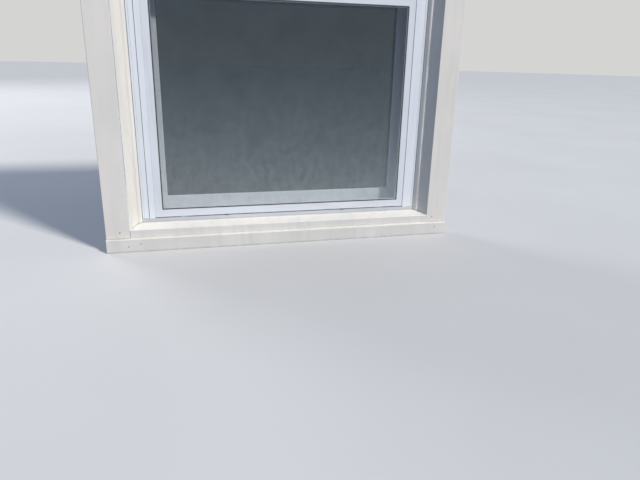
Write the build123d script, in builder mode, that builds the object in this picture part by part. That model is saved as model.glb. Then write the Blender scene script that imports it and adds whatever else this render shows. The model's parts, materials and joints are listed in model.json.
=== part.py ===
# A vinyl double-hung sash window with its half insect screen, set in a wrapped wooden casing and sill.
# X runs across the window, Y into the wall from the casing's back plane, Z up from the sill's underside.
import os

from build123d import *

os.makedirs("parts", exist_ok=True)

# Vinyl frame
frame_width = 856.0
frame_height = 1278.0
frame_setback = 18.0
front_depth = 11.4
parting_depth = 4.9
inner_stop_depth = 6.3
jamb_thickness = 37.0
head_thickness = 33.4
stop_overlap = 9.5
lip_radius = 0.4
vinyl_wall = 2.0
pocket_wall = 1.8
pocket_slot = 13.0
sill_upstand = 11.0
sill_seat_rise = 4.0
sill_dam_height = 24.0

# The frame's front face steps back into an outer flange, which has one fine groove
flange_width = 31.0
flange_step = 1.2
flange_groove_inset = 17.0
flange_groove_width = 0.8
flange_groove_depth = 0.5

# Sashes
sash_depth = 30.0
sash_face = 43.3
bottom_rail_face = 48.5
sash_side_gap = 3.0
sash_top_gap = 3.0
sash_seat_gap = 0.5
track_play = 0.95
sash_wall = 2.4
edge_wall = 4.6
web_wall = 1.6
edge_radius = 0.8
travel_margin = 15.0

# Glass
bead_depth = 5.0
pane_thickness = 3.0
pane_gap = 10.0
glass_bite = 12.3
setting_block_height = 3.0
setting_block_length = 60.0
setting_block_reach = 170.0
spacer_width = 8.0
bead_bevel = 2.0
bead_radius = 0.5
bead_tongue = 1.2
bead_tongue_width = 1.6
bead_joint = 0.2

# Weatherstrip slots in the sash edges
strip_inset = 5.7
strip_slot_width = 5.6
strip_slot_depth = 1.5
strip_lip = 1.2
strip_mouth = 3.0
strip_play = 0.2
strip_gap = 0.4
pile_width = 2.4
seal_clearance = 0.2

# Meeting rail hooks, measured up from the lower edge of the meeting rails
hook_height = 8.0
hook_thickness = 1.4
hook_rise = 10.0
hook_play = 0.8
hook_gap = 1.35
hook_end_gap = 3.5

# Lift lip on the inside of the bottom rail
lift_half_length = 300.0
lift_reach = 14.0
lift_drop = 8.5
lift_thickness = 2.5
lift_below_sightline = 6.5

# Balances
tube_radius = 6.0
tube_wall = 0.8
tube_bush_length = 8.0
tube_bush_play = 0.3
tube_to_back_wall = 8.0
tube_clear_of_foot = 15.0
cap_width = 14.0
cap_height = 24.0
cap_to_soffit = 8.6
rod_radius = 2.5
rod_engagement = 14.0
foot_thickness = 3.0
foot_width = 11.0
foot_above_sash_end = 10.0
foot_tongue = 9.0
balance_screw_radius = 2.1
balance_screw_rise = 4.2
balance_screw_head_radius = 4.0
balance_screw_head_height = 2.5
screw_play = 0.2

# Cam lock and keeper
lock_half_length = 21.0
lock_width = 22.0
lock_corner_radius = 5.5
lock_edge_radius = 1.0
lock_thickness = 4.5
lock_screw_reach = 15.0
lock_screw_radius = 1.7
lock_screw_head_radius = 3.0
lock_screw_head_height = 2.0
lock_screw_length = 14.0
pivot_radius = 3.0
pivot_length = 4.0
pivot_play = 0.05
lever_gap = 0.3
lever_hub_radius = 9.0
lever_hub_height = 5.9
lever_plate = 3.6
cam_inner = 23.8
cam_outer = 27.2
cam_width = 5.0
cam_drop = 4.9
handle_length = 36.0
handle_width = 11.0
handle_tip_width = 7.0
grip_half_width = 2.9
grip_half_length = 7.0
grip_height = 5.0
grip_taper = 12.0
keeper_half_length = 18.5
keeper_depth = 9.2
keeper_overhang = 0.85
keeper_thickness = 1.5
keeper_lip_half_length = 5.0
keeper_lip_height = 4.7
keeper_screw_reach = 14.0
keeper_screw_radius = 1.4
keeper_screw_head_radius = 2.2
keeper_screw_head_height = 1.4
keeper_screw_length = 8.0

# Screws through the jambs into the wall's frame, left for the fitter
fixing_radius = 2.75
fixing_offset = 10.4
fixing_spacing = 380.0
lower_fixing_rise = 108.0
upper_fixing_drop = 140.0

# Half insect screen
screen_overlap = 18.0
screen_side_lap = 1.0
screen_edge_radius = 0.7
screen_depth = 8.0
screen_bar = 26.0
screen_wall = 0.8
screen_play = 0.7
screen_front_gap = 0.3
screen_lip = 1.2
screen_foot_gap = 2.0
screen_foot_length = 20.0
screen_foot_depth = 6.0
screen_foot_reach = 300.0
screen_fin = 1.6
spline_inset = 21.5
spline_width = 3.2
spline_depth = 3.4
spline_recess = 0.5
mesh_recess = 1.0
mesh_thickness = 0.3
corner_tongue = 14.0
corner_tongue_play = 0.1

# Casing and sill, wrapped in folded sheet
sheet = 1.0
fold_radius = 1.6
casing_face = 64.5
casing_depth = 22.0
bevel_width = 22.0
bevel_foot_inset = 12.0
bevel_land = 5.0
return_overlap = 10.0
return_draw = 6.5
nose_height = 38.0
nose_overhang = 8.0
riser_height = 24.0
sill_slope_rise = 10.0
weep_reach = 179.0
weep_width = 12.0
weep_depth = 1.5

# Planes that the pieces share
frame_half = frame_width / 2
track_wall = frame_half - jamb_thickness
stop_edge = track_wall - stop_overlap
sash_half = track_wall - sash_side_gap
sightline = sash_half - sash_face
track_depth = sash_depth + 2 * track_play

front_y = frame_setback
flange_y = front_y + flange_step
flange_edge = frame_half - flange_width
outer_track_y = front_y + front_depth
parting_y = outer_track_y + track_depth
inner_track_y = parting_y + parting_depth
inner_stop_y = inner_track_y + track_depth
frame_back_y = inner_stop_y + inner_stop_depth
upper_sash_y = outer_track_y + track_play
lower_sash_y = inner_track_y + track_play

platform_z = nose_height + riser_height + sill_slope_rise
ledge_z = platform_z + sill_upstand
seat_z = ledge_z + sill_seat_rise
frame_top_z = platform_z + frame_height
soffit_z = frame_top_z - head_thickness
sash_end_z = seat_z + sash_seat_gap
lower_sight_z = sash_end_z + bottom_rail_face
top_rail_top_z = soffit_z - sash_top_gap
daylight = (top_rail_top_z - 2 * sash_face - lower_sight_z) / 2
meeting_low_z = lower_sight_z + daylight
meeting_top_z = meeting_low_z + sash_face
sash_travel = daylight - travel_margin
lower_fixings = (platform_z + lower_fixing_rise, platform_z + lower_fixing_rise + fixing_spacing)
upper_fixings = (frame_top_z - upper_fixing_drop - fixing_spacing, frame_top_z - upper_fixing_drop)

casing_inner = frame_half - return_overlap
casing_corner = casing_inner + return_draw + bevel_land + bevel_width
casing_outer = casing_corner + casing_face
head_offset = frame_top_z - frame_half
nose_y = -casing_depth - nose_overhang

inner_leg = bead_depth + 2 * pane_thickness + pane_gap
pocket_floor = glass_bite + setting_block_height

into_wall = Vector(0, 1, 0)
RIGHT, LEFT, UP, DOWN = Vector(1, 0, 0), Vector(-1, 0, 0), Vector(0, 0, 1), Vector(0, 0, -1)
SIDES = {"left": LEFT, "right": RIGHT}


# A plane across a straight member: its x runs outward from the window's middle, its y into the wall
def section_plane(origin, outward):
    return Plane(origin=origin, x_dir=outward, z_dir=outward.cross(into_wall))


# Adds or removes a rectangle given by its corners
def rectangle(x0, x1, y0, y1, mode=Mode.ADD):
    with Locations(((x0 + x1) / 2, (y0 + y1) / 2)):
        Rectangle(x1 - x0, y1 - y0, mode=mode)


# Cuts one end of the open part on the mitre that starts at an inner corner
def mitre(corner, along, outward, setback=0.0):
    normal = (along - outward).normalized()
    split(bisect_by=Plane(origin=corner - normal * setback, z_dir=normal), keep=Keep.BOTTOM)


def save(piece, name):
    piece.part.label = name
    export_step(piece.part, f"parts/{name}.step")


# Folds of the casing's wrap, from its outer side to the vinyl frame, with x out from the window's middle
casing_folds = [
    (casing_outer, 0),
    (casing_outer, -casing_depth),
    (casing_corner, -casing_depth),
    (casing_corner - bevel_width, bevel_foot_inset),
    (casing_inner + return_draw, bevel_foot_inset),
    (casing_inner, front_y),
]


# The sheet that follows a row of folds, on their inner side
def sheet_section(folds):
    with BuildSketch() as section:
        with BuildLine():
            line = FilletPolyline(*folds, radius=fold_radius)
            offset(line, amount=sheet, side=Side.RIGHT, kind=Kind.INTERSECTION)
        make_face()
    return section.sketch


# Everything behind a row of folds, closed through the points on its inner side
def filled_section(folds, back):
    with BuildSketch() as section:
        with BuildLine():
            FilletPolyline(*folds, radius=fold_radius)
            Polyline(folds[-1], *back, folds[0])
        make_face()
    return section.sketch


# The casing's wrap, cut off flush where it meets the vinyl frame
def wrap_section():
    with BuildSketch() as section:
        add(sheet_section(casing_folds))
        rectangle(casing_inner, casing_outer, -casing_depth, front_y, mode=Mode.INTERSECT)
    return section.sketch


# What the casing's wrap encloses, kept between two depths
def core_section(y0, y1):
    with BuildSketch() as section:
        add(filled_section(casing_folds, [(casing_corner, front_y), (casing_corner, 0)]))
        add(wrap_section(), mode=Mode.SUBTRACT)
        rectangle(casing_inner, casing_outer, y0, y1, mode=Mode.INTERSECT)
    return section.sketch


# Side and head pieces of the casing: the section along its run, mitred at the top corners
def casing_run(section, side):
    if side == "head":
        origin, outward, half_run = Vector(0, 0, head_offset), UP, casing_outer
    else:
        middle = (nose_height + head_offset + casing_outer) / 2
        origin, outward = Vector(0, 0, middle), SIDES[side]
        half_run = head_offset + casing_outer - middle
    with BuildPart() as run:
        with BuildSketch(section_plane(origin, outward)):
            add(section)
        extrude(amount=half_run, both=True)
        corner = Vector(0, 0, head_offset)
        if side == "head":
            mitre(corner, LEFT, UP)
            mitre(corner, RIGHT, UP)
        else:
            mitre(corner, UP, outward)
    return run


for side in ("left", "right", "head"):
    casing_board = casing_run(core_section(-casing_depth, 0), side)
    save(casing_board, f"{side}_casing_board")
    blind_stop = casing_run(core_section(0, front_y), side)
    save(blind_stop, f"{side}_blind_stop")
    casing_cover = casing_run(wrap_section(), side)
    save(casing_cover, f"{side}_casing_cover")


# Ground plan of one casing, widened past the window's side, which trims the sill's upper step
def casing_footprint():
    past = casing_outer + casing_depth
    before = nose_y - sheet
    with BuildSketch() as footprint:
        with BuildLine():
            FilletPolyline((casing_corner, before), *casing_folds[2:], radius=fold_radius)
            Polyline(casing_folds[-1], (past, front_y), (past, before), (casing_corner, before))
        make_face()
    return footprint.sketch


# Folds of the sill, as (depth, height), from the nose's foot to the vinyl frame
sill_folds = [
    (nose_y, 0),
    (nose_y, nose_height),
    (-casing_depth, nose_height),
    (-casing_depth, nose_height + riser_height),
    (front_y, platform_z),
]


def nose_section():
    with BuildSketch() as section:
        add(filled_section(sill_folds, [(frame_back_y, platform_z), (frame_back_y, 0)]))
        rectangle(nose_y, 0, 0, nose_height, mode=Mode.INTERSECT)
    return section.sketch


with BuildPart() as sill_cover:
    with BuildSketch(Plane.YZ):
        add(sheet_section(sill_folds))
    extrude(amount=casing_outer, both=True)
    for outward in SIDES.values():
        with BuildSketch(section_plane(Vector(0, 0, nose_height), outward)):
            add(casing_footprint())
        extrude(amount=outward.X * (riser_height + sill_slope_rise + sheet), mode=Mode.SUBTRACT)
    for outward in SIDES.values():
        with BuildSketch(Plane(origin=outward * casing_outer, x_dir=into_wall, z_dir=RIGHT)):
            add(nose_section())
        extrude(amount=-outward.X * sheet)
save(sill_cover, "sill_cover")

with BuildPart() as sill_board:
    with BuildSketch(Plane.YZ):
        add(filled_section(sill_folds, [(frame_back_y, platform_z), (frame_back_y, 0)]))
    extrude(amount=frame_half, both=True)
    with BuildSketch(Plane.YZ):
        add(nose_section())
    extrude(amount=casing_outer - sheet, both=True)
    for outward in SIDES.values():
        with BuildSketch(section_plane(Vector(0, 0, nose_height), outward)):
            add(casing_footprint())
        extrude(amount=outward.X * (riser_height + sill_slope_rise), mode=Mode.SUBTRACT)
    add(sill_cover.part, mode=Mode.SUBTRACT)
save(sill_board, "sill_board")


# Jamb: two sash tracks with a balance pocket behind each, the screen's track and the inner stop
def jamb_section():
    screen_groove = stop_edge + screen_side_lap + screen_play
    with BuildSketch() as section:
        rectangle(stop_edge, frame_half, front_y, frame_back_y)
        rectangle(flange_edge, frame_half, front_y, flange_y, Mode.SUBTRACT)
        for track_y in (outer_track_y, inner_track_y):
            middle = track_y + track_depth / 2
            rectangle(stop_edge, track_wall, track_y, track_y + track_depth, Mode.SUBTRACT)
            rectangle(
                track_wall + pocket_wall,
                frame_half - vinyl_wall,
                track_y + pocket_wall,
                track_y + track_depth - pocket_wall,
                Mode.SUBTRACT,
            )
            rectangle(
                track_wall,
                track_wall + pocket_wall,
                middle - pocket_slot / 2,
                middle + pocket_slot / 2,
                Mode.SUBTRACT,
            )
        rectangle(
            stop_edge, screen_groove, front_y + screen_lip, outer_track_y - screen_fin, Mode.SUBTRACT
        )
        hollow_y1 = outer_track_y - pocket_wall
        hollow_x0, hollow_x1 = screen_groove + pocket_wall, flange_edge - web_wall
        rectangle(hollow_x0, hollow_x1, front_y + vinyl_wall, hollow_y1, Mode.SUBTRACT)
        rectangle(flange_edge, frame_half - vinyl_wall, flange_y + vinyl_wall, hollow_y1, Mode.SUBTRACT)
        for y, depth in ((parting_y, parting_depth), (inner_stop_y, inner_stop_depth)):
            rectangle(
                stop_edge + vinyl_wall,
                frame_half - vinyl_wall,
                y + web_wall,
                y + depth - web_wall,
                Mode.SUBTRACT,
            )
        with BuildLine():
            middle = frame_half - flange_groove_inset
            Polyline(
                (middle - flange_groove_width / 2, flange_y),
                (middle, flange_y + flange_groove_depth),
                (middle + flange_groove_width / 2, flange_y),
                close=True,
            )
        make_face(mode=Mode.SUBTRACT)
        fillet(section.vertices().group_by(Axis.X)[0], lip_radius)
    return section.sketch


upper_pocket_y = outer_track_y + track_depth / 2
lower_pocket_y = inner_track_y + track_depth / 2
cap_top_z = soffit_z - cap_to_soffit
balance_screw_z = cap_top_z - cap_height / 2 + balance_screw_rise

for side, outward in SIDES.items():
    with BuildPart() as jamb:
        middle_z = (ledge_z + soffit_z) / 2
        with BuildSketch(section_plane(Vector(0, 0, middle_z), outward)):
            add(jamb_section())
        extrude(amount=(soffit_z - ledge_z) / 2, both=True)
        side_plane = Plane(origin=outward * frame_half, x_dir=into_wall, z_dir=outward)
        up = side_plane.y_dir.Z
        with BuildSketch(side_plane):
            with Locations(*[(upper_pocket_y - fixing_offset, up * z) for z in lower_fixings]):
                Circle(fixing_radius)
            with Locations(*[(lower_pocket_y - fixing_offset, up * z) for z in upper_fixings]):
                Circle(fixing_radius)
        extrude(amount=-jamb_thickness, mode=Mode.SUBTRACT)
        with BuildSketch(side_plane):
            with Locations(*[(y, up * balance_screw_z) for y in (upper_pocket_y, lower_pocket_y)]):
                Circle(balance_screw_radius + screw_play)
        extrude(amount=-vinyl_wall, mode=Mode.SUBTRACT)
    save(jamb, f"{side}_jamb")

with BuildPart() as frame_head:
    with BuildSketch(Plane.YZ):
        rectangle(front_y, frame_back_y, soffit_z, frame_top_z)
        hollow_z0, hollow_z1 = soffit_z + vinyl_wall, frame_top_z - vinyl_wall
        hollow_ends = (flange_y, outer_track_y, parting_y, inner_track_y, inner_stop_y, frame_back_y)
        for y0, y1 in zip(hollow_ends[:-1], hollow_ends[1:]):
            rectangle(y0 + web_wall, y1 - web_wall, hollow_z0, hollow_z1, Mode.SUBTRACT)
    extrude(amount=frame_half, both=True)
    with BuildSketch(Plane.XZ.offset(-flange_y)):
        rectangle(-frame_half, frame_half, soffit_z, frame_top_z)
        rectangle(-flange_edge, flange_edge, soffit_z, frame_top_z - flange_width, Mode.SUBTRACT)
    extrude(amount=flange_step, mode=Mode.SUBTRACT)
    with BuildSketch(Plane.YZ) as stops:
        leg_z = soffit_z - stop_overlap - sash_top_gap
        hollow_stops = ((front_y, outer_track_y), (inner_stop_y, frame_back_y))
        for y0, y1 in (*hollow_stops, (parting_y, inner_track_y)):
            rectangle(y0, y1, leg_z, soffit_z)
        fillet(stops.vertices().group_by(Axis.Y)[0], lip_radius)
        for y0, y1 in hollow_stops:
            rectangle(y0 + vinyl_wall, y1 - vinyl_wall, leg_z + vinyl_wall, soffit_z, Mode.SUBTRACT)
    extrude(amount=stop_edge, both=True)
save(frame_head, "frame_head")

with BuildPart() as frame_sill:
    with BuildSketch(Plane.YZ):
        rectangle(front_y, frame_back_y, platform_z, ledge_z)
        hollow_z0, hollow_z1 = platform_z + vinyl_wall, ledge_z - vinyl_wall
        for y0, y1 in ((front_y, parting_y), (parting_y, frame_back_y)):
            rectangle(y0 + vinyl_wall, y1 - vinyl_wall, hollow_z0, hollow_z1, Mode.SUBTRACT)
    extrude(amount=frame_half, both=True)
    with BuildSketch(Plane.YZ):
        with BuildLine():
            Polyline(
                (outer_track_y, ledge_z),
                (parting_y, seat_z),
                (inner_stop_y, seat_z),
                (inner_stop_y, seat_z + sill_dam_height),
                (frame_back_y, seat_z + sill_dam_height),
                (frame_back_y, ledge_z),
                close=True,
            )
        make_face()
        rectangle(
            inner_stop_y + vinyl_wall,
            frame_back_y - vinyl_wall,
            ledge_z + vinyl_wall,
            seat_z + sill_dam_height - vinyl_wall,
            Mode.SUBTRACT,
        )
    extrude(amount=stop_edge, both=True)
    with BuildSketch(Plane.XY.offset(ledge_z)):
        for x in (-weep_reach, weep_reach):
            rectangle(x - weep_width / 2, x + weep_width / 2, front_y, outer_track_y)
    extrude(amount=-weep_depth, mode=Mode.SUBTRACT)
save(frame_sill, "frame_sill")


# T slot for a weatherstrip, cut in the outer edge of a sash member
def strip_slot(face, middle):
    rectangle(face - strip_lip, face, middle - strip_mouth / 2, middle + strip_mouth / 2, Mode.SUBTRACT)
    rectangle(
        face - strip_lip - strip_slot_depth,
        face - strip_lip,
        middle - strip_slot_width / 2,
        middle + strip_slot_width / 2,
        Mode.SUBTRACT,
    )


strip_places = (strip_inset, sash_depth - strip_inset)


# Sash member: x runs out from the sightline, y in from the outer face; the glass sits in its pocket
def sash_section(face):
    with BuildSketch() as section:
        with BuildLine():
            Polyline(
                (pocket_floor, 0),
                (face, 0),
                (face, sash_depth),
                (bead_bevel, sash_depth),
                (0, sash_depth - bead_bevel),
                (0, inner_leg),
                (pocket_floor, inner_leg),
                close=True,
            )
        make_face()
        corners = [v for v in section.vertices() if abs(v.Y - inner_leg) > edge_radius]
        fillet(corners, edge_radius)
        first, last = pocket_floor + sash_wall, face - edge_wall
        web = (first + last) / 2
        rectangle(first, web - web_wall / 2, sash_wall, sash_depth - sash_wall, Mode.SUBTRACT)
        rectangle(web + web_wall / 2, last, sash_wall, sash_depth - sash_wall, Mode.SUBTRACT)
        rectangle(
            sash_wall, pocket_floor, inner_leg + web_wall, sash_depth - sash_wall, Mode.SUBTRACT
        )
        tongue_y = bead_depth / 2 - bead_tongue_width / 2
        tongue_end = pocket_floor + bead_tongue
        rectangle(pocket_floor, tongue_end, tongue_y, tongue_y + bead_tongue_width, Mode.SUBTRACT)
        for middle in strip_places:
            strip_slot(face, middle)
    return section.sketch


# Glazing bead: bevelled towards the glass, with a tongue that snaps into the member's wall
def bead_section():
    tongue_y = bead_depth / 2 - bead_tongue_width / 2
    with BuildSketch() as section:
        with BuildLine():
            Polyline(
                (0, bead_bevel),
                (bead_bevel, 0),
                (pocket_floor, 0),
                (pocket_floor, bead_depth),
                (0, bead_depth),
                close=True,
            )
        make_face()
        fillet([v for v in section.vertices() if v.Y < bead_depth - bead_radius], bead_radius)
        rectangle(
            pocket_floor, pocket_floor + bead_tongue, tongue_y, tongue_y + bead_tongue_width
        )
    return section.sketch


# Weatherstrip: its backing in the T slot, and the pile or bulb that stands out by a given reach
def strip_section(face, middle, reach):
    with BuildSketch() as section:
        rectangle(
            face - strip_lip - strip_slot_depth,
            face - strip_lip,
            middle - strip_slot_width / 2 + strip_play,
            middle + strip_slot_width / 2 - strip_play,
        )
        rectangle(face - strip_lip, face + reach, middle - pile_width / 2, middle + pile_width / 2)
    return section.sketch


# One straight member of a sash, from its place on the sightline, mitred at both ends
def sash_run(section, place, face, setback=0.0):
    origin, outward, half_daylight = place
    along = outward.cross(into_wall)
    with BuildPart() as run:
        with BuildSketch(section_plane(origin, outward)):
            add(section)
        extrude(amount=half_daylight + face, both=True)
        for way in (along, -along):
            mitre(origin + way * half_daylight, way, outward, setback)
    return run


# Where the four members of a sash lie: place on the sightline, way outward and half of the daylight
def sash_members(sash_y, sight_z):
    middle_z = sight_z + daylight / 2
    return {
        "left": (Vector(-sightline, sash_y, middle_z), LEFT, daylight / 2),
        "right": (Vector(sightline, sash_y, middle_z), RIGHT, daylight / 2),
        "bottom": (Vector(0, sash_y, sight_z), DOWN, sightline),
        "top": (Vector(0, sash_y, sight_z + daylight), UP, sightline),
    }


# Stile with the mortise for the balance's foot
def make_stile(sash_y, sight_z, side, foot_z):
    member = sash_run(sash_section(sash_face), sash_members(sash_y, sight_z)[side], sash_face)
    with BuildPart() as stile:
        add(member.part)
        mortise_x = SIDES[side].X * (sash_half - edge_wall / 2)
        with Locations((mortise_x, sash_y + sash_depth / 2, foot_z + foot_thickness / 2)):
            Box(edge_wall, foot_width, foot_thickness, mode=Mode.SUBTRACT)
    return stile


def make_pane(sash_y, sight_z, depth):
    glass_half, glass_low = sightline + glass_bite, sight_z - glass_bite
    with BuildPart() as pane:
        with BuildSketch(Plane.XZ.offset(-(sash_y + depth))):
            rectangle(-glass_half, glass_half, glass_low, sight_z + daylight + glass_bite)
        extrude(amount=-pane_thickness)
    return pane


def make_spacer(sash_y, sight_z):
    inner = glass_bite - spacer_width
    with BuildPart() as spacer:
        with BuildSketch(Plane.XZ.offset(-(sash_y + bead_depth + pane_thickness))):
            for reach, mode in ((glass_bite, Mode.ADD), (inner, Mode.SUBTRACT)):
                half = sightline + reach
                rectangle(-half, half, sight_z - reach, sight_z + daylight + reach, mode)
        extrude(amount=-pane_gap)
    return spacer


def make_setting_blocks(sash_y, sight_z):
    with BuildPart() as blocks:
        low = sight_z - pocket_floor
        with BuildSketch(Plane.XZ.offset(-(sash_y + bead_depth))):
            for x in (-setting_block_reach, setting_block_reach):
                half = setting_block_length / 2
                rectangle(x - half, x + half, low, low + setting_block_height)
        extrude(amount=-(inner_leg - bead_depth))
    return blocks


def make_beads(sash_y, sight_z):
    places = sash_members(sash_y, sight_z).values()
    runs = [sash_run(bead_section(), place, pocket_floor, bead_joint / 2) for place in places]
    with BuildPart() as beads:
        for run in runs:
            add(run.part)
    return beads


# Strips in both slots of the stiles and, on the upper sash, of the top rail
def make_pile_strips(sash_y, sight_z, places):
    with BuildPart() as strips:
        for place in places:
            origin, outward, half = sash_members(sash_y, sight_z)[place]
            reach = (sash_top_gap if place == "top" else sash_side_gap) - strip_gap
            for middle in strip_places:
                with BuildSketch(section_plane(origin, outward)):
                    add(strip_section(sash_face, middle, reach))
                extrude(amount=half, both=True)
    return strips


# Balance rod, with the foot that reaches through the jamb's slot into the stile
rod_x = frame_half - vinyl_wall - tube_to_back_wall
tube_bottom_z = meeting_low_z + foot_above_sash_end + foot_thickness + tube_clear_of_foot


def make_balance_rod(side_x, pocket_y, foot_z, rod_top_z):
    tongue_x = sash_half - foot_tongue
    plate_end = rod_x + foot_width / 2
    with BuildPart() as rod:
        with BuildSketch(Plane.XY.offset(foot_z)):
            with Locations((side_x * (tongue_x + plate_end) / 2, pocket_y)):
                RectangleRounded(plate_end - tongue_x, foot_width, rod_radius / 2)
        extrude(amount=foot_thickness)
        with BuildSketch(Plane.XY.offset(foot_z + foot_thickness)):
            with Locations((side_x * rod_x, pocket_y)):
                Circle(rod_radius)
        extrude(amount=rod_top_z - foot_z - foot_thickness)
    return rod


# Balance tube with its bush at the foot and its cap, which seats on the jamb's back wall
def make_balance_tube(side_x, pocket_y):
    cap_low_z = cap_top_z - cap_height
    back_x = frame_half - vinyl_wall
    with BuildPart() as tube:
        with BuildSketch(Plane.XY.offset(tube_bottom_z)):
            with Locations((side_x * rod_x, pocket_y)):
                Circle(tube_radius)
        extrude(amount=cap_low_z - tube_bottom_z)
        with BuildSketch(Plane.XY.offset(cap_low_z)):
            cap_inner_x = rod_x - cap_width / 2
            with Locations((side_x * (cap_inner_x + back_x) / 2, pocket_y)):
                Rectangle(back_x - cap_inner_x, cap_width)
        extrude(amount=cap_height)
        with BuildSketch(Plane.XY.offset(tube_bottom_z + tube_bush_length)):
            with Locations((side_x * rod_x, pocket_y)):
                Circle(tube_radius - tube_wall)
        extrude(amount=cap_low_z - tube_bottom_z - tube_bush_length, mode=Mode.SUBTRACT)
        with BuildSketch(Plane.XY.offset(tube_bottom_z)):
            with Locations((side_x * rod_x, pocket_y)):
                Circle(rod_radius + tube_bush_play)
        extrude(amount=tube_bush_length, mode=Mode.SUBTRACT)
        cap_back = Plane(origin=(side_x * back_x, pocket_y, balance_screw_z), z_dir=(-side_x, 0, 0))
        with BuildSketch(cap_back):
            Circle(balance_screw_radius + screw_play)
        extrude(amount=back_x - cap_inner_x, mode=Mode.SUBTRACT)
    return tube


lower_foot_z = sash_end_z + foot_above_sash_end
upper_foot_z = meeting_low_z + foot_above_sash_end
lower_rod_top_z = tube_bottom_z + rod_engagement
upper_rod_top_z = lower_rod_top_z + sash_travel

balances = {
    "lower": (lower_pocket_y, lower_foot_z, lower_rod_top_z),
    "upper": (upper_pocket_y, upper_foot_z, upper_rod_top_z),
}
for sash, (pocket, foot_z, rod_top_z) in balances.items():
    for side, outward in SIDES.items():
        balance_tube = make_balance_tube(outward.X, pocket)
        save(balance_tube, f"{sash}_{side}_balance_tube")
        balance_rod = make_balance_rod(outward.X, pocket, foot_z, rod_top_z)
        save(balance_rod, f"{sash}_{side}_balance_rod")

with BuildPart() as balance_screws:
    head_x = rod_x - cap_width / 2
    for outward in SIDES.values():
        for pocket in (upper_pocket_y, lower_pocket_y):
            head_plane = Plane(origin=(outward.X * head_x, pocket, balance_screw_z), z_dir=outward)
            with BuildSketch(head_plane):
                Circle(balance_screw_head_radius)
            extrude(amount=-balance_screw_head_height)
            with BuildSketch(head_plane):
                Circle(balance_screw_radius)
            extrude(amount=frame_half - head_x - screw_play)
save(balance_screws, "balance_screws")

# Pieces that both sashes have
for sash, sash_y, sight_z in (
    ("lower", lower_sash_y, lower_sight_z),
    ("upper", upper_sash_y, meeting_top_z),
):
    for side in SIDES:
        stile = make_stile(sash_y, sight_z, side, lower_foot_z if sash == "lower" else upper_foot_z)
        save(stile, f"{sash}_{side}_stile")
    outer_pane = make_pane(sash_y, sight_z, bead_depth)
    save(outer_pane, f"{sash}_outer_pane")
    inner_pane = make_pane(sash_y, sight_z, inner_leg - pane_thickness)
    save(inner_pane, f"{sash}_inner_pane")
    spacer = make_spacer(sash_y, sight_z)
    save(spacer, f"{sash}_spacer")
    setting_blocks = make_setting_blocks(sash_y, sight_z)
    save(setting_blocks, f"{sash}_setting_blocks")
    glazing_beads = make_beads(sash_y, sight_z)
    save(glazing_beads, f"{sash}_glazing_beads")
    strip_sides = ("left", "right", "top") if sash == "upper" else ("left", "right")
    pile_strips = make_pile_strips(sash_y, sight_z, strip_sides)
    save(pile_strips, f"{sash}_pile_strips")

# Bottom rail of the lower sash, with the lip it is lifted by
lower_members = sash_members(lower_sash_y, lower_sight_z)
bottom_rail_run = sash_run(sash_section(bottom_rail_face), lower_members["bottom"], sash_face)
with BuildPart() as lower_bottom_rail:
    add(bottom_rail_run.part)
    back_y, lip_top_z = lower_sash_y + sash_depth, lower_sight_z - lift_below_sightline
    with BuildSketch(Plane.YZ):
        rectangle(back_y, back_y + lift_reach, lip_top_z - lift_thickness, lip_top_z)
        rectangle(
            back_y + lift_reach - lift_thickness,
            back_y + lift_reach,
            lip_top_z - lift_drop,
            lip_top_z - lift_thickness,
        )
    extrude(amount=lift_half_length, both=True)
save(lower_bottom_rail, "lower_bottom_rail")

with BuildPart() as bottom_seal:
    origin, outward, half = lower_members["bottom"]
    for middle in strip_places:
        with BuildSketch(section_plane(origin, outward)):
            add(strip_section(bottom_rail_face, middle, sash_seat_gap - seal_clearance))
        extrude(amount=sightline, both=True)
save(bottom_seal, "bottom_seal")

hook_half = stop_edge - hook_end_gap
hook_root_z = meeting_low_z + hook_rise
lock_y = lower_sash_y + sash_depth / 2
lock_screw_places = [(x, lock_y) for x in (-lock_screw_reach, lock_screw_reach)]

# Meeting rails: each has a hook that faces the other sash, and they catch when both sashes are shut
lower_meeting_run = sash_run(sash_section(sash_face), lower_members["top"], sash_face)
with BuildPart() as lower_meeting_rail:
    add(lower_meeting_run.part)
    lower_hook_y = upper_sash_y + sash_depth + hook_gap
    leg_z = hook_root_z + hook_height
    with BuildSketch(Plane.YZ):
        rectangle(lower_hook_y, lower_sash_y, leg_z, leg_z + hook_thickness)
        rectangle(lower_hook_y, lower_hook_y + hook_thickness, hook_root_z, leg_z)
    extrude(amount=hook_half, both=True)
    with BuildSketch(Plane.XY.offset(meeting_top_z)):
        with Locations(*lock_screw_places):
            Circle(lock_screw_radius + screw_play)
    extrude(amount=-edge_wall, mode=Mode.SUBTRACT)
save(lower_meeting_rail, "lower_meeting_rail")

keeper_y = upper_sash_y + sash_depth + keeper_overhang - keeper_depth
keeper_screw_y = upper_sash_y + (inner_leg + web_wall + sash_depth - sash_wall) / 2
keeper_screw_places = [(x, keeper_screw_y) for x in (-keeper_screw_reach, keeper_screw_reach)]

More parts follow.
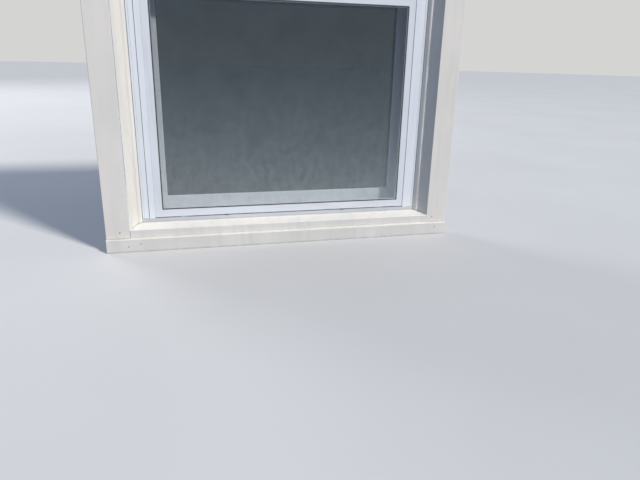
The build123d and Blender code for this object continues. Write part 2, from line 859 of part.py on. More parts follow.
upper_members = sash_members(upper_sash_y, meeting_top_z)
upper_meeting_run = sash_run(sash_section(sash_face), upper_members["bottom"], sash_face)
with BuildPart() as upper_meeting_rail:
    add(upper_meeting_run.part)
    root_y = upper_sash_y + sash_depth
    lip_y = lower_hook_y + hook_thickness + hook_play
    leg_top_z = hook_root_z - hook_play
    with BuildSketch(Plane.YZ):
        rectangle(root_y, lip_y + hook_thickness, leg_top_z - hook_thickness, leg_top_z)
        rectangle(lip_y, lip_y + hook_thickness, leg_top_z, hook_root_z + hook_height - hook_play)
    extrude(amount=hook_half, both=True)
    with BuildSketch(Plane.XY.offset(meeting_top_z)):
        with Locations(*keeper_screw_places):
            Circle(keeper_screw_radius + screw_play)
    extrude(amount=-sash_wall, mode=Mode.SUBTRACT)
save(upper_meeting_rail, "upper_meeting_rail")

upper_top_rail = sash_run(sash_section(sash_face), upper_members["top"], sash_face)
save(upper_top_rail, "upper_top_rail")

# Cam lock: a plate on the lower meeting rail that carries the lever's pivot
lock_top_z = meeting_top_z + lock_thickness
with BuildPart() as lock_base:
    with BuildSketch(Plane.XY.offset(meeting_top_z)):
        with Locations((0, lock_y)):
            RectangleRounded(2 * lock_half_length, lock_width, lock_corner_radius)
    extrude(amount=lock_thickness)
    fillet(lock_base.faces().sort_by(Axis.Z)[-1].edges(), lock_edge_radius)
    with BuildSketch(Plane.XY.offset(lock_top_z)):
        with Locations(*lock_screw_places):
            Circle(lock_screw_radius + screw_play)
    extrude(amount=-lock_thickness, mode=Mode.SUBTRACT)
    with BuildSketch(Plane.XY.offset(lock_top_z)):
        with Locations((0, lock_y)):
            Circle(pivot_radius + pivot_play)
    extrude(amount=-pivot_length - lever_gap, mode=Mode.SUBTRACT)
save(lock_base, "lock_base")

with BuildPart() as lock_screws:
    with BuildSketch(Plane.XY.offset(lock_top_z)):
        with Locations(*lock_screw_places):
            Circle(lock_screw_head_radius)
    extrude(amount=lock_screw_head_height)
    with BuildSketch(Plane.XY.offset(lock_top_z)):
        with Locations(*lock_screw_places):
            Circle(lock_screw_radius)
    extrude(amount=-lock_screw_length)
save(lock_screws, "lock_screws")

# Lever, unlocked: its cam arm lies along the rail and its handle points into the room
with BuildPart() as lock_lever:
    hub_z = lock_top_z + lever_gap
    plate_z = hub_z + lever_hub_height - lever_plate
    with BuildSketch(Plane.XY.offset(hub_z)):
        with Locations((0, lock_y)):
            Circle(lever_hub_radius)
    extrude(amount=lever_hub_height)
    with BuildSketch(Plane.XY.offset(plate_z)):
        rectangle(0, cam_outer, lock_y - cam_width / 2, lock_y + cam_width / 2)
        with BuildLine():
            Polyline(
                (-handle_width / 2, lock_y),
                (handle_width / 2, lock_y),
                (handle_tip_width / 2, lock_y + handle_length),
                (-handle_tip_width / 2, lock_y + handle_length),
                close=True,
            )
        make_face()
    extrude(amount=lever_plate)
    with BuildSketch(Plane.XY.offset(plate_z)):
        rectangle(cam_inner, cam_outer, lock_y - cam_width / 2, lock_y + cam_width / 2)
    extrude(amount=-cam_drop)
    grip_z = plate_z + lever_plate
    with BuildSketch(Plane.XY.offset(grip_z)):
        with Locations((0, lock_y + handle_length - grip_half_length)):
            Ellipse(grip_half_width, grip_half_length)
    extrude(amount=grip_height, taper=grip_taper)
    with BuildSketch(Plane.XY.offset(hub_z)):
        with Locations((0, lock_y)):
            Circle(pivot_radius)
    extrude(amount=-pivot_length)
save(lock_lever, "lock_lever")

with BuildPart() as lock_keeper:
    with BuildSketch(Plane.XY.offset(meeting_top_z)):
        rectangle(-keeper_half_length, keeper_half_length, keeper_y, keeper_y + keeper_depth)
    extrude(amount=keeper_thickness)
    with BuildSketch(Plane.XY.offset(meeting_top_z + keeper_thickness)):
        rectangle(
            -keeper_lip_half_length,
            keeper_lip_half_length,
            keeper_y + keeper_depth - keeper_thickness,
            keeper_y + keeper_depth,
        )
    extrude(amount=keeper_lip_height)
    with BuildSketch(Plane.XY.offset(meeting_top_z)):
        with Locations(*keeper_screw_places):
            Circle(keeper_screw_radius + screw_play)
    extrude(amount=keeper_thickness, mode=Mode.SUBTRACT)
save(lock_keeper, "lock_keeper")

with BuildPart() as keeper_screws:
    with BuildSketch(Plane.XY.offset(meeting_top_z + keeper_thickness)):
        with Locations(*keeper_screw_places):
            Circle(keeper_screw_head_radius)
    extrude(amount=keeper_screw_head_height)
    with BuildSketch(Plane.XY.offset(meeting_top_z + keeper_thickness)):
        with Locations(*keeper_screw_places):
            Circle(keeper_screw_radius)
    extrude(amount=-keeper_screw_length)
save(keeper_screws, "keeper_screws")

# Half insect screen
screen_half = stop_edge + screen_side_lap
screen_y = front_y + screen_lip + screen_front_gap
screen_low_z = ledge_z + screen_foot_gap
screen_top_z = meeting_low_z + screen_overlap
screen_opening_half = screen_half - screen_bar


# Roll-formed bar: x runs out from the mesh, y in from its front; a groove in front holds the mesh
def screen_section():
    groove_outer = screen_bar - spline_inset
    groove_inner = groove_outer - spline_width
    with BuildSketch() as section:
        rectangle(0, screen_bar, 0, screen_depth)
        rectangle(0, groove_outer, 0, mesh_recess, Mode.SUBTRACT)
        corners = [v for v in section.vertices() if v.Y == 0 or v.X == screen_bar]
        fillet(corners, screen_edge_radius)
        rectangle(groove_inner, groove_outer, mesh_recess, mesh_recess + spline_depth, Mode.SUBTRACT)
        rectangle(
            groove_outer + screen_wall,
            screen_bar - screen_wall,
            screen_wall,
            screen_depth - screen_wall,
            Mode.SUBTRACT,
        )
    return section.sketch


# Rectangle round the screen's opening, grown by a width
def screen_ring(reach, mode=Mode.ADD):
    half = screen_opening_half + reach
    low, high = screen_low_z + screen_bar - reach, screen_top_z - screen_bar + reach
    rectangle(-half, half, low, high, mode)


screen_middle_z = (screen_low_z + screen_top_z) / 2
screen_bars = {
    "left": (Vector(-screen_opening_half, screen_y, screen_middle_z), LEFT),
    "right": (Vector(screen_opening_half, screen_y, screen_middle_z), RIGHT),
    "bottom": (Vector(0, screen_y, screen_low_z + screen_bar), DOWN),
    "top": (Vector(0, screen_y, screen_top_z - screen_bar), UP),
}
for side, (origin, outward) in screen_bars.items():
    half_length = screen_top_z - screen_middle_z - screen_bar if outward.Z == 0 else screen_opening_half
    with BuildPart() as screen_bar_part:
        with BuildSketch(section_plane(origin, outward)):
            add(screen_section())
        extrude(amount=half_length, both=True)
    save(screen_bar_part, f"screen_{side}_bar")

groove_reach = screen_bar - spline_inset
with BuildPart() as screen_corners:
    corner_x, low_corner_z, high_corner_z = (
        screen_half - screen_bar / 2,
        screen_low_z + screen_bar / 2,
        screen_top_z - screen_bar / 2,
    )
    corner_places = [(x, z) for x in (-corner_x, corner_x) for z in (low_corner_z, high_corner_z)]
    with BuildSketch(Plane.XZ.offset(-screen_y)):
        with Locations(*corner_places):
            Rectangle(screen_bar, screen_bar)
    extrude(amount=-screen_depth)
    with BuildSketch(Plane.XZ.offset(-screen_y)):
        screen_ring(groove_reach)
    extrude(amount=-mesh_recess, mode=Mode.SUBTRACT)
    with BuildSketch(Plane.XZ.offset(-(screen_y + mesh_recess))):
        screen_ring(groove_reach)
        screen_ring(groove_reach - spline_width, Mode.SUBTRACT)
    extrude(amount=-spline_depth, mode=Mode.SUBTRACT)
    tongue_low = groove_reach + screen_wall + corner_tongue_play
    tongue_high = screen_bar - screen_wall - corner_tongue_play
    tongue_inset = screen_wall + corner_tongue_play
    with BuildSketch(Plane.XZ.offset(-(screen_y + tongue_inset))):
        for x_way in (-1, 1):
            for z_edge, z_way in ((screen_low_z + screen_bar, -1), (screen_top_z - screen_bar, 1)):
                edge_x = x_way * screen_opening_half
                near_x, far_x = edge_x + x_way * tongue_low, edge_x + x_way * tongue_high
                near_z, far_z = z_edge + z_way * tongue_low, z_edge + z_way * tongue_high
                rectangle(*sorted((near_x, far_x)), *sorted((z_edge, z_edge - z_way * corner_tongue)))
                rectangle(*sorted((edge_x, edge_x - x_way * corner_tongue)), *sorted((near_z, far_z)))
    extrude(amount=-(screen_depth - 2 * tongue_inset))
save(screen_corners, "screen_corners")

with BuildPart() as screen_spline:
    with BuildSketch(Plane.XZ.offset(-(screen_y + spline_recess))):
        screen_ring(groove_reach)
        screen_ring(groove_reach - spline_width, Mode.SUBTRACT)
    extrude(amount=-(mesh_recess + spline_depth - spline_recess))
save(screen_spline, "screen_spline")

with BuildPart() as insect_mesh:
    with BuildSketch(Plane.XZ.offset(-(screen_y + mesh_recess))):
        screen_ring(groove_reach - spline_width)
    extrude(amount=mesh_thickness)
save(insect_mesh, "insect_mesh")

# Two small feet that keep the screen clear of the sill, so that rain drains under it
with BuildPart() as screen_feet:
    with BuildSketch(Plane.XY.offset(ledge_z)):
        middle_y = screen_y + screen_depth / 2
        with Locations((-screen_foot_reach, middle_y), (screen_foot_reach, middle_y)):
            Rectangle(screen_foot_length, screen_foot_depth)
    extrude(amount=screen_foot_gap)
save(screen_feet, "screen_feet")
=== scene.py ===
import json
import math

import bmesh
import bpy
from mathutils import Matrix, Vector


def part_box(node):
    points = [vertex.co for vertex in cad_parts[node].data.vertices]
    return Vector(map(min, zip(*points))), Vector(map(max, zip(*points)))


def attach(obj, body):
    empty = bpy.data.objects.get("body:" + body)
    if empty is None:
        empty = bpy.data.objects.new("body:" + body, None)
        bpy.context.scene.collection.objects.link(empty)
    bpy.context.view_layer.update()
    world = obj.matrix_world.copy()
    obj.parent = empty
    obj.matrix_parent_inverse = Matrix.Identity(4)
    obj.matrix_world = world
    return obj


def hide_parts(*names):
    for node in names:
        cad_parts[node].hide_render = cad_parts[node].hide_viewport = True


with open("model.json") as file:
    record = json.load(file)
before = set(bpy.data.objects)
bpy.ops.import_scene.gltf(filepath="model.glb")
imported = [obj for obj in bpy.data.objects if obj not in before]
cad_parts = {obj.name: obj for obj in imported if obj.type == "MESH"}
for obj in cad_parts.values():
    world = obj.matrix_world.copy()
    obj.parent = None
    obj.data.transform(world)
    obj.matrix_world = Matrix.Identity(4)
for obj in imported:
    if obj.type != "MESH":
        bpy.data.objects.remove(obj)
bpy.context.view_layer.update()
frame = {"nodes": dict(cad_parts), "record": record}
nodes = frame["nodes"]
scene = bpy.context.scene
scene.view_settings.view_transform = "Standard"
print("frame loaded:", len(nodes), "nodes")

# Camera: stands a little left of the window, above the sill, and looks down at it
cameraSet = {
    "place": (-0.3103, -1.555, 0.534),
    "focalPixels": 543.3,
    "imageWidth": 640,
    "sensorWidth": 36.0,
    "yaw": -14.98,
    "pitch": 18.606,
    "roll": 1.374,
}


def makeCamera(look):
    towardsWall = Matrix(((1, 0, 0), (0, 0, -1), (0, 1, 0)))
    turn = (
        Matrix.Rotation(math.radians(look["roll"]), 3, "Z")
        @ Matrix.Rotation(math.radians(look["pitch"]), 3, "X")
        @ Matrix.Rotation(math.radians(look["yaw"]), 3, "Y")
        @ towardsWall
    )
    data = bpy.data.cameras.new("camera")
    data.sensor_width = look["sensorWidth"]
    data.lens = look["focalPixels"] * look["sensorWidth"] / look["imageWidth"]
    camera = bpy.data.objects.new("camera", data)
    facing = turn.transposed() @ Matrix(((1, 0, 0), (0, -1, 0), (0, 0, -1)))
    camera.matrix_world = Matrix.Translation(look["place"]) @ facing.to_4x4()
    scene.collection.objects.link(camera)
    scene.camera = camera


makeCamera(cameraSet)
print("camera set")

# Lamps: a soft key from the upper right, a weaker one for the room side
lampSet = {
    "target": (0.0, 0.0, 0.7),
    "keyAway": (0.47, -0.59, 0.656),
    "keyStrength": 3.4,
    "keySoftness": 9.0,
    "keyColor": (1.0, 0.97, 0.92),
    "rearAway": (-0.5, 0.68, 0.53),
    "rearDistance": 9.0,
    "rearSize": 4.0,
    "rearWatts": 230.0,
    "rearColor": (0.97, 0.985, 1.0),
}


def makeLamp(name, kind, away, strength, color):
    data = bpy.data.lights.new(name, kind)
    data.energy = strength
    data.color = color
    lamp = bpy.data.objects.new(name, data)
    away = Vector(away).normalized()
    lamp.location = Vector(lampSet["target"]) + away * lampSet["rearDistance"]
    lamp.rotation_euler = away.to_track_quat("Z", "Y").to_euler()
    scene.collection.objects.link(lamp)
    return data


keyLamp = makeLamp("keyLamp", "SUN", lampSet["keyAway"], lampSet["keyStrength"], lampSet["keyColor"])
keyLamp.angle = math.radians(lampSet["keySoftness"])
rearLamp = makeLamp("rearLamp", "AREA", lampSet["rearAway"], lampSet["rearWatts"], lampSet["rearColor"])
rearLamp.shape = "DISK"
rearLamp.size = lampSet["rearSize"]
print("lamps set")


# Adds a node to a tree; an input is given a value or the socket that feeds it
def addNode(tree, kind, inputs=None, **settings):
    node = tree.nodes.new(kind)
    for key, value in settings.items():
        setattr(node, key, value)
    for key, value in (inputs or {}).items():
        if isinstance(value, bpy.types.NodeSocket):
            tree.links.new(value, node.inputs[key])
        else:
            node.inputs[key].default_value = value
    return node


def mixColors(tree, factor, first, second):
    return addNode(tree, "ShaderNodeMix", {0: factor, 6: first, 7: second}, data_type="RGBA").outputs[2]


def stretchTo(tree, value, fromMin, fromMax, toMin=0.0, toMax=1.0):
    spans = {"Value": value, "From Min": fromMin, "From Max": fromMax, "To Min": toMin, "To Max": toMax}
    return addNode(tree, "ShaderNodeMapRange", spans).outputs["Result"]


def calculate(tree, operation, *values):
    return addNode(tree, "ShaderNodeMath", dict(enumerate(values)), operation=operation).outputs[0]


def multiply(tree, first, second):
    return calculate(tree, "MULTIPLY", first, second)


def larger(tree, first, second):
    return calculate(tree, "MAXIMUM", first, second)


# Noise on the piece's own coordinates, in metres, stretched along any axis
def noiseOf(tree, stretch, detail=3.0):
    place = addNode(tree, "ShaderNodeTexCoord").outputs["Object"]
    mapped = addNode(tree, "ShaderNodeMapping", {"Vector": place, "Scale": stretch}).outputs[0]
    noise = addNode(tree, "ShaderNodeTexNoise", {"Vector": mapped, "Scale": 1.0, "Detail": detail})
    return noise.outputs["Fac"]


def placeOf(tree, axis):
    place = addNode(tree, "ShaderNodeTexCoord").outputs["Object"]
    return addNode(tree, "ShaderNodeSeparateXYZ", {"Vector": place}).outputs[axis]


def addBump(tree, height, distance, under=None):
    inputs = {"Height": height, "Distance": distance}
    if under is not None:
        inputs["Normal"] = under
    return addNode(tree, "ShaderNodeBump", inputs).outputs["Normal"]


def newMaterial(name, constants=None):
    material = bpy.data.materials.new(name)
    material.use_nodes = True
    shader = material.node_tree.nodes["Principled BSDF"]
    for key, value in (constants or {}).items():
        shader.inputs[key].default_value = value
    return material, material.node_tree, shader


# One where a surround is seen, straight on or in a reflection, and none where it only lights the window
def seenOf(tree):
    rays = addNode(tree, "ShaderNodeLightPath")
    seen = rays.outputs["Is Camera Ray"]
    for output in ("Is Glossy Ray", "Is Transmission Ray"):
        seen = larger(tree, seen, rays.outputs[output])
    return seen


# The world: a plain pale surround, which is weaker as a lamp than as a background
worldSet = {"ambient": (0.142, 0.21, 0.35, 1), "background": (0.66, 0.66, 0.65, 1)}


def makeWorld(look):
    world = bpy.data.worlds.new("studio")
    world.use_nodes = True
    scene.world = world
    tree = world.node_tree
    color = mixColors(tree, seenOf(tree), look["ambient"], look["background"])
    tree.links.new(color, tree.nodes["Background"].inputs["Color"])


makeWorld(worldSet)

# The floor: plain and pale
floorSet = {
    "radius": 30.0,
    "drop": 0.0002,
    "tone": (0.64, 0.635, 0.625, 1),
    "shade": (0.615, 0.61, 0.60, 1),
    "bounce": (0.12, 0.15, 0.205, 1),
    "clouds": (1.5, 1.5, 1.5),
    "cloudSpan": (0.35, 0.65),
    "edges": 96,
    "constants": {"Roughness": 0.85, "Specular IOR Level": 0.2},
}


def makeFloor(look):
    bm = bmesh.new()
    bmesh.ops.create_circle(bm, cap_ends=True, segments=look["edges"], radius=look["radius"])
    bmesh.ops.translate(bm, verts=bm.verts, vec=(0, 0, -look["drop"]))
    mesh = bpy.data.meshes.new("floor")
    bm.to_mesh(mesh)
    bm.free()
    floor = bpy.data.objects.new("floor", mesh)
    scene.collection.objects.link(floor)
    material, tree, shader = newMaterial("floorPaint", look["constants"])
    cloud = stretchTo(tree, noiseOf(tree, look["clouds"]), *look["cloudSpan"])
    color = mixColors(tree, cloud, look["tone"], look["shade"])
    tree.links.new(mixColors(tree, seenOf(tree), look["bounce"], color), shader.inputs["Base Color"])
    mesh.materials.append(material)


makeFloor(floorSet)
print("world and floor set")


# Upright lines on a piece, each at its own X: full within a third of the width, faded at the width
lineSet = {"full": 3.0, "breakup": (30, 30, 8), "breakupSpan": (0.3, 0.6, 0.55, 1.0)}


def lineMask(tree, look):
    across = placeOf(tree, "X")
    mask = 0.0
    for line in look["places"]:
        away = calculate(tree, "ABSOLUTE", calculate(tree, "SUBTRACT", across, line))
        near = stretchTo(tree, away, look["width"], look["width"] / lineSet["full"])
        mask = larger(tree, mask, near)
    above = calculate(tree, "GREATER_THAN", placeOf(tree, "Z"), look["from"])
    # Noise breaks each line up along its length, for painted highlight, painted shadow and joint lines
    # alike
    breakup = stretchTo(tree, noiseOf(tree, lineSet["breakup"]), *lineSet["breakupSpan"])
    return multiply(tree, multiply(tree, mask, above), breakup)


# What all the painted and moulded surfaces share: between which values of its noise a pattern comes in
surfaceSet = {
    "patchDetail": 4.0,
    "patchSpan": (0.34, 0.68),
    "streakSpan": (0.5, 0.74),
    "cornerSamples": 8,
    "cornerSpan": (0.86, 0.32),
    "shadeAndDirtSpots": (35, 35, 35),
    "shadeAndDirtSpotSpan": (0.25, 0.6, 0.35, 1.0),
    "glossDetail": 5.0,
    "glossSpan": (0.3, 0.7),
    "waveDetail": 1.0,
    "grainDetail": 4.0,
}


# Soft tone changes, rain streaks, painted shade with dirt in the joints and corners, and a fine grain
def makeSurface(name, look):
    shared = surfaceSet
    material, tree, shader = newMaterial(name, look.get("constants"))
    patches = stretchTo(tree, noiseOf(tree, look["patches"], shared["patchDetail"]), *shared["patchSpan"])
    color = mixColors(tree, patches, look["tone"], look["shade"])
    streaks = noiseOf(tree, look["streaks"])
    streaks = stretchTo(tree, streaks, *shared["streakSpan"], 0.0, look["streakAmount"])
    color = mixColors(tree, streaks, color, look["streakTone"])
    # Painted shade: darker where ambient occlusion finds a corner or joint close by, broken into spots
    # like dirt
    reach = {"Distance": look["shadeAndDirtReach"]}
    corners = addNode(tree, "ShaderNodeAmbientOcclusion", reach, samples=shared["cornerSamples"])
    shadeAndDirt = stretchTo(tree, corners.outputs["AO"], *shared["cornerSpan"], 0.0, look["shadeAndDirtAmount"])
    spots = stretchTo(tree, noiseOf(tree, shared["shadeAndDirtSpots"]), *shared["shadeAndDirtSpotSpan"])
    color = mixColors(tree, multiply(tree, shadeAndDirt, spots), color, look["shadeAndDirtTone"])
    gloss = noiseOf(tree, look["grain"], shared["glossDetail"])
    gloss = stretchTo(tree, gloss, *shared["glossSpan"], *look["roughness"])
    if "lines" in look:
        lines = lineMask(tree, look["lines"])
        color = mixColors(tree, lines, color, look["lines"]["tone"])
        if "bare" in look["lines"]:
            tree.links.new(multiply(tree, lines, look["lines"]["bare"]), shader.inputs["Metallic"])
            gloss = multiply(tree, gloss, stretchTo(tree, lines, 0.0, 1.0, 1.0, look["lines"]["polish"]))
    tree.links.new(color, shader.inputs["Base Color"])
    tree.links.new(gloss, shader.inputs["Roughness"])
    waves = addBump(tree, noiseOf(tree, look["waves"], shared["waveDetail"]), look["waveHeight"])
    grain = noiseOf(tree, look["grain"], shared["grainDetail"])
    tree.links.new(addBump(tree, grain, look["grainHeight"], waves), shader.inputs["Normal"])
    return material


# The wrap's folds, where its coating has worn thin to bare metal, with a lighter bluish line along them
# that is a painted highlight
foldHighlightSet = {
    "places": (-0.4515, 0.4290),
    "from": 0.0,
    "width": 0.0028,
    "tone": (0.93, 0.955, 0.985, 1),
    "bare": 0.95,
    "polish": 0.35,
}
# Painted shadow: dark lines on the left jamb only, at its joint with the wrap's edge and along the step
# in the frame's face
frameShadowLineSet = {
    "places": (-0.4169, -0.3979),
    "from": 0.0,
    "width": 0.0012,
    "tone": (0.17, 0.175, 0.19, 1),
}
# A dark joint line at the left casing's foot
footJointSet = {
    "places": (-0.4512,),
    "from": 0.0385,
    "width": 0.0012,
    "tone": (0.13, 0.125, 0.12, 1),
}

creamWrapSet = {
    "tone": (0.84, 0.795, 0.725, 1),
    "shade": (0.765, 0.73, 0.67, 1),
    "patches": (9, 9, 5),
    "streaks": (42, 42, 3.5),
    "streakTone": (0.585, 0.57, 0.52, 1),
    "streakAmount": 0.3,
    "shadeAndDirtReach": 0.009,
    "shadeAndDirtTone": (0.20, 0.185, 0.16, 1),
    "shadeAndDirtAmount": 0.8,
    "roughness": (0.36, 0.5),
    "grain": (600, 600, 600),
    "grainHeight": 0.00003,
    "waves": (11, 11, 6),
    "waveHeight": 0.0012,
    "constants": {"Specular IOR Level": 0.5, "Coat Weight": 0.12, "Coat Roughness": 0.25},
}
vinylSet = {
    "tone": (0.835, 0.86, 0.895, 1),
    "shade": (0.79, 0.82, 0.86, 1),
    "patches": (7, 7, 7),
    "streaks": (60, 60, 4),
    "streakTone": (0.63, 0.65, 0.66, 1),
    "streakAmount": 0.28,
    "shadeAndDirtReach": 0.007,
    "shadeAndDirtTone": (0.11, 0.115, 0.125, 1),
    "shadeAndDirtAmount": 0.9,
    "roughness": (0.3, 0.42),
    "grain": (900, 900, 12),
    "grainHeight": 0.00002,
    "waves": (20, 20, 5),
    "waveHeight": 0.0005,
    "constants": {"Specular IOR Level": 0.5},
}
# The same vinyl with its die lines along X, for rails
vinylRailSet = dict(vinylSet, grain=(12, 900, 900), streaks=(16, 60, 60), waves=(5, 20, 20))
screenSet = dict(
    vinylSet,
    tone=(0.785, 0.81, 0.845, 1),
    shade=(0.725, 0.75, 0.79, 1),
    streakTone=(0.58, 0.60, 0.62, 1),
    streakAmount=0.35,
    roughness=(0.34, 0.5),
    waves=(30, 30, 9),
)
screenRailSet = dict(screenSet, grain=(12, 900, 900), streaks=(14, 70, 70), waves=(9, 30, 30))
plasticSet = dict(
    vinylSet,
    tone=(0.77, 0.80, 0.85, 1),
    shade=(0.71, 0.74, 0.79, 1),
    grain=(1500, 1500, 1500),
    roughness=(0.42, 0.58),
)
lockSet = dict(
    vinylSet,
    tone=(0.84, 0.85, 0.86, 1),
    shade=(0.80, 0.81, 0.82, 1),
    grain=(700, 700, 700),
    roughness=(0.22, 0.34),
    constants={"Coat Weight": 0.5, "Coat Roughness": 0.12},
)
steelSet = dict(
    vinylSet,
    tone=(0.62, 0.63, 0.64, 1),
    shade=(0.47, 0.48, 0.49, 1),
    patches=(120, 120, 120),
    grain=(900, 900, 60),
    roughness=(0.28, 0.48),
    shadeAndDirtAmount=0.5,
    constants={"Metallic": 1.0},
)
spacerSet = dict(steelSet, tone=(0.58, 0.59, 0.60, 1), shade=(0.5, 0.51, 0.52, 1), roughness=(0.35, 0.5))
foldHighlightWrapSet = dict(creamWrapSet, lines=foldHighlightSet)
sillWrapSet = dict(
    creamWrapSet,
    tone=(0.835, 0.80, 0.74, 1),
    shade=(0.755, 0.725, 0.675, 1),
    lines=footJointSet,
)
# The jambs' vinyl, with the painted shadow lines on the left one
jambSet = dict(vinylSet, lines=frameShadowLineSet)
frameSillSet = dict(
    vinylRailSet,
    tone=(0.615, 0.635, 0.655, 1),
    shade=(0.52, 0.54, 0.56, 1),
    streakAmount=0.45,
)
rubberSet = dict(
    vinylSet,
    tone=(0.045, 0.047, 0.05, 1),
    shade=(0.075, 0.077, 0.08, 1),
    patches=(60, 60, 60),
    streakTone=(0.16, 0.155, 0.145, 1),
    grain=(1200, 1200, 1200),
    grainHeight=0.00006,
    roughness=(0.6, 0.8),
)
pileSet = dict(
    rubberSet,
    tone=(0.34, 0.345, 0.35, 1),
    shade=(0.22, 0.225, 0.23, 1),
    patches=(900, 900, 40),
    grain=(2600, 2600, 90),
    grainHeight=0.0005,
    roughness=(0.85, 1.0),
    constants={"Sheen Weight": 0.5, "Sheen Roughness": 0.6},
)
nailHeadSet = dict(
    steelSet,
    tone=(0.36, 0.31, 0.25, 1),
    shade=(0.17, 0.13, 0.10, 1),
    patches=(500, 500, 500),
    roughness=(0.5, 0.7),
    constants={"Metallic": 0.35},
)
woodSet = {
    "light": (0.62, 0.44, 0.26, 1),
    "dark": (0.36, 0.215, 0.105, 1),
    "grey": (0.40, 0.36, 0.30, 1),
    "rings": (34, 34, 1.3),
    "ringDetail": 2.0,
    "ringCount": 17.0,
    "fibres": (420, 420, 9),
    "fibreDetail": 4.0,
    "fibreSpan": (0.42, 0.75, 0.0, 0.5),
    "fibreHeight": 0.00025,
    "weather": (5, 5, 5),
    "weatherSpan": (0.42, 0.7, 0.0, 0.55),
    "glossSpan": (0.3, 0.7, 0.6, 0.85),
    "constants": {"Specular IOR Level": 0.3},
}
woodRailSet = dict(woodSet, rings=(1.3, 34, 34), fibres=(9, 420, 420))


# Softwood boards: growth rings, fibres and a little grey weathering
def makeWood(name, look):
    material, tree, shader = newMaterial(name, look["constants"])
    rings = multiply(tree, noiseOf(tree, look["rings"], look["ringDetail"]), look["ringCount"])
    color = mixColors(tree, calculate(tree, "PINGPONG", rings, 1.0), look["light"], look["dark"])
    fibres = noiseOf(tree, look["fibres"], look["fibreDetail"])
    color = mixColors(tree, stretchTo(tree, fibres, *look["fibreSpan"]), color, look["dark"])
    weather = stretchTo(tree, noiseOf(tree, look["weather"]), *look["weatherSpan"])
    tree.links.new(mixColors(tree, weather, color, look["grey"]), shader.inputs["Base Color"])
    tree.links.new(stretchTo(tree, fibres, *look["glossSpan"]), shader.inputs["Roughness"])
    tree.links.new(addBump(tree, fibres, look["fibreHeight"]), shader.inputs["Normal"])
    return material


# Glass with a dark tint that is painted shade, standing for the dark space behind it, and a thin film of
# dust that makes it duller in patches
glassSet = {
    "tone": (0.14, 0.20, 0.225, 1),
    "dullTone": (0.16, 0.21, 0.235, 1),
    "film": (3, 3, 9),
    "filmDetail": 2.0,
    "filmSpan": (0.4, 0.75),
    "roughness": (0.0, 0.03),
    "ripples": (3, 3, 3),
    "rippleDetail": 1.0,
    "rippleHeight": 0.0003,
    "constants": {"IOR": 1.5, "Transmission Weight": 1.0},
}


def makeGlass(name, look):
    material, tree, shader = newMaterial(name, look["constants"])
    film = noiseOf(tree, look["film"], look["filmDetail"])
    film = stretchTo(tree, film, *look["filmSpan"])
    tree.links.new(mixColors(tree, film, look["tone"], look["dullTone"]), shader.inputs["Base Color"])
    tree.links.new(stretchTo(tree, film, 0.0, 1.0, *look["roughness"]), shader.inputs["Roughness"])
    ripples = noiseOf(tree, look["ripples"], look["rippleDetail"])
    tree.links.new(addBump(tree, ripples, look["rippleHeight"]), shader.inputs["Normal"])
    return material


finishes = {
    "cream_wrap": makeSurface("creamWrap", creamWrapSet),
    "vinyl": makeSurface("vinyl", vinylSet),
    "vinyl_rail": makeSurface("vinylRail", vinylRailSet),
    "screen_finish": makeSurface("screenEnamel", screenSet),
    "screen_finish_rail": makeSurface("screenEnamelRail", screenRailSet),
    "white_plastic": makeSurface("mouldedPlastic", plasticSet),
    "lock_finish": makeSurface("lockEnamel", lockSet),
    "steel": makeSurface("zincSteel", steelSet),
    "spacer": makeSurface("spacerMetal", spacerSet),
    "rubber": makeSurface("rubber", rubberSet),
    "pile": makeSurface("pile", pileSet),
    "wood": makeWood("softwood", woodSet),
    "wood_rail": makeWood("softwoodRail", woodRailSet),
    "glass": makeGlass("shadeTintedGlass", glassSet),
}
foldHighlightWrap = makeSurface("creamWrapFoldHighlight", foldHighlightWrapSet)
jambVinyl = makeSurface("vinylJamb", jambSet)
ownFinishes = {
    "left_casing_cover": foldHighlightWrap,
    "right_casing_cover": foldHighlightWrap,
    "sill_cover": makeSurface("creamWrapSill", sillWrapSet),
    "left_jamb": jambVinyl,
    "right_jamb": jambVinyl,
    "frame_sill": makeSurface("vinylSill", frameSillSet),
}
railWords = ("rail", "head", "sill", "bottom_bar", "top_bar")
for part in frame["record"]["subparts"]:
    name, finish = part["node"], part["material_slot"]
    if any(word in name for word in railWords) and finish + "_rail" in finishes:
        finish += "_rail"
    material = ownFinishes.get(name, finishes.get(finish))
    if material:
        for holder in nodes[name].material_slots:
            holder.material = material
print("finishes on the frame:", len(finishes))


def addPiece(bm, name, body, material):
    mesh = bpy.data.meshes.new(name)
    bm.to_mesh(mesh)
    bm.free()
    mesh.materials.append(material)
    piece = bpy.data.objects.new(name, mesh)
    scene.collection.objects.link(piece)
    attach(piece, body)
    return piece


# Insect mesh: every wire of the weave, the upright ones behind the level ones
wireSet = {
    "pitch": 0.00141,
    "radius": 0.00014,
    "apart": 0.8,
    "sides": 5,
    "tone": (0.155, 0.175, 0.20, 1),
    "shade": (0.12, 0.138, 0.16, 1),
    "detail": 5.0,
    "patches": (14, 14, 14),
    "patchSpan": (0.35, 0.7),
    "litBelowTone": (0.76, 0.84, 0.83, 1),
    "litBelowFade": 2.0,
    "litBelowSpots": (60, 60, 40),
    "litBelowSpotSpan": (0.3, 0.65, 0.7, 1.0),
    "roughness": (0.4, 0.6),
}
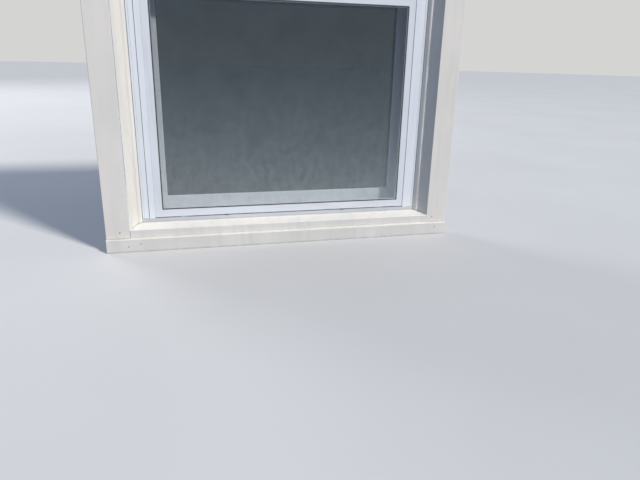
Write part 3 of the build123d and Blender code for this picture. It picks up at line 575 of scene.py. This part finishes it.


# Dark wires that turn paler towards the bottom bar, in spots: painted light, the lower part lit and the
# top in shade
def makeWireMaterial(look):
    material, tree, shader = newMaterial("meshWire")
    low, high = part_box("insect_mesh")
    patches = noiseOf(tree, look["patches"], look["detail"])
    patches = stretchTo(tree, patches, *look["patchSpan"])
    color = mixColors(tree, patches, look["tone"], look["shade"])
    litBelow = calculate(tree, "POWER", stretchTo(tree, placeOf(tree, "Z"), high.z, low.z), look["litBelowFade"])
    spots = noiseOf(tree, look["litBelowSpots"], look["detail"])
    spots = stretchTo(tree, spots, *look["litBelowSpotSpan"])
    color = mixColors(tree, multiply(tree, litBelow, spots), color, look["litBelowTone"])
    tree.links.new(color, shader.inputs["Base Color"])
    tree.links.new(stretchTo(tree, patches, 0.0, 1.0, *look["roughness"]), shader.inputs["Roughness"])
    return material


def makeWires(look):
    low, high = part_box("insect_mesh")
    middle, size = (low + high) / 2, high - low
    upright, level = Matrix.Identity(4), Matrix.Rotation(math.pi / 2, 4, "Y")
    bm = bmesh.new()
    for axis, length, turn, side in ((0, size.z, upright, 1), (2, size.x, level, -1)):
        count = int(size[axis] / look["pitch"])
        for index in range(count + 1):
            place = middle.copy()
            place[axis] += (index - count / 2) * look["pitch"]
            place.y += look["radius"] * look["apart"] * side
            bmesh.ops.create_cone(
                bm,
                cap_ends=True,
                segments=look["sides"],
                radius1=look["radius"],
                radius2=look["radius"],
                depth=length,
                matrix=Matrix.Translation(place) @ turn,
            )
    wires = addPiece(bm, "meshWires", "screen", makeWireMaterial(look))
    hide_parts("insect_mesh")


makeWires(wireSet)
print("insect mesh woven")

# Small domed nails that hold the folded covers
nailSet = {
    "headRadius": 0.0022,
    "topRadius": 0.0018,
    "headHeight": 0.0011,
    "sides": 20,
    "rim": 0.0004,
    "rimSteps": 3,
    "frontFacing": -0.99,
    "places": [
        (-0.457, -0.0296, 0.0165),
        (-0.424, -0.0296, 0.0233),
        (0.478, -0.0296, 0.024),
        (-0.478, -0.022, 0.0565),
        (0.470, -0.022, 0.056),
    ],
}


def makeNails(look):
    bm = bmesh.new()
    facing = Matrix.Rotation(math.pi / 2, 4, "X")
    for place in look["places"]:
        bmesh.ops.create_cone(
            bm,
            cap_ends=True,
            segments=look["sides"],
            radius1=look["headRadius"],
            radius2=look["topRadius"],
            depth=look["headHeight"],
            matrix=Matrix.Translation(place) @ facing,
        )
    fronts = [face for face in bm.faces if face.normal.y < look["frontFacing"]]
    bmesh.ops.bevel(
        bm,
        geom=list({edge for front in fronts for edge in front.edges}),
        offset=look["rim"],
        segments=look["rimSteps"],
        profile=0.5,
        affect="EDGES",
        material=-1,
    )
    addPiece(bm, "coverNails", "frame", makeSurface("nailHeads", nailHeadSet))


makeNails(nailSet)
print("cover nails set")
